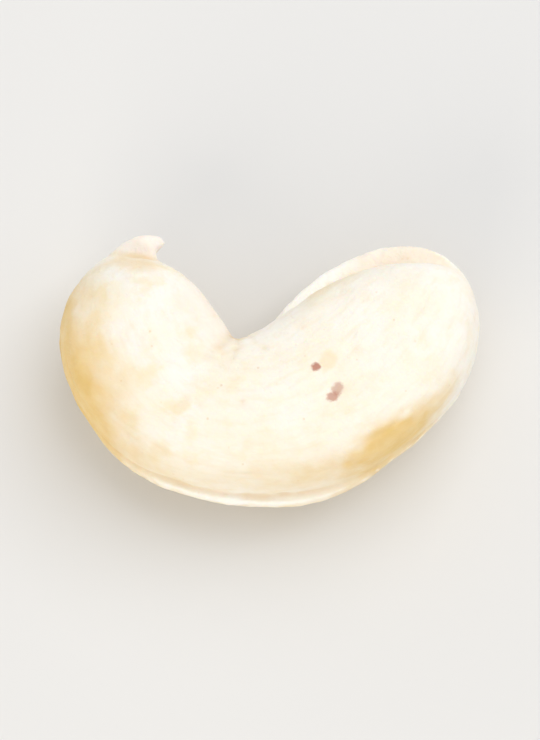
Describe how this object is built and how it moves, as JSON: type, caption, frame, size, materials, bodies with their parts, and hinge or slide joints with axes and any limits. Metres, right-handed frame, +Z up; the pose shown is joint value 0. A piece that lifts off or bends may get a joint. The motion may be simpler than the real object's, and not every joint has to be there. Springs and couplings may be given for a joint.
{
  "type": "roasted cashew kernel",
  "caption": "Whole roasted cashew kernel, kidney-shaped with a round back, a V-shaped belly and a beaked tip, lying on its side.",
  "frame": {"origin": "on the surface that the kernel lies on, under the middle of its outline", "axes": "+X from the beaked arm to the blunt arm, +Y out of the notch and away from the round back, +Z up, square to the plane of the bend"},
  "size_m": [0.026, 0.0172, 0.0099],
  "materials": {
    "cashew_flesh": "satin"
  },
  "bodies": {
    "root": {"kernel": "cashew_flesh"}
  },
  "joints": []
}
